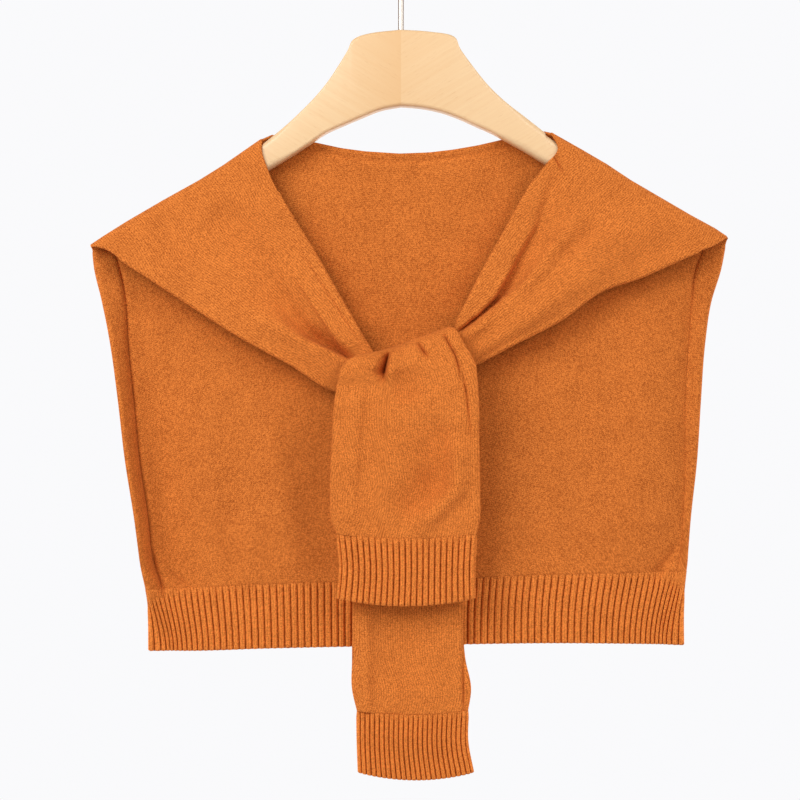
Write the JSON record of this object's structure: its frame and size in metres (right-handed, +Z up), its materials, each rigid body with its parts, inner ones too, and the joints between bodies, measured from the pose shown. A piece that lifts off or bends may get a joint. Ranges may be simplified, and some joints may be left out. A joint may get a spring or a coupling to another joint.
{
  "type": "knit bolero shawl on a wooden hanger",
  "caption": "Cropped knit shoulder shawl worn as a bolero, with a ribbed hem and mock sleeves knotted at the front, hung on a wooden hanger with a wire hook.",
  "frame": {"origin": "inside top of the hook, where a rod carries the hanger", "axes": "+X to the viewer's right seen from the front, +Y to the back, +Z up"},
  "size_m": [0.4475, 0.0503, 0.599],
  "materials": {
    "knit": "fine stocking stitch, matte ginger",
    "rib": "ribbed knit, matte ginger",
    "beech": "satin pale wood",
    "steel": "bright wire"
  },
  "bodies": {
    "root": {"back_panel": "knit", "back_hem": "rib", "neck_trim": "rib", "sleeve_left_drape": "knit", "sleeve_right_drape": "knit", "knot_crossing": "knit", "tail_front": "knit", "cuff_front": "rib", "tail_back": "knit", "cuff_back": "rib", "hanger_left": "beech", "hanger_right": "beech", "hanger_hook": "steel"}
  },
  "joints": []
}
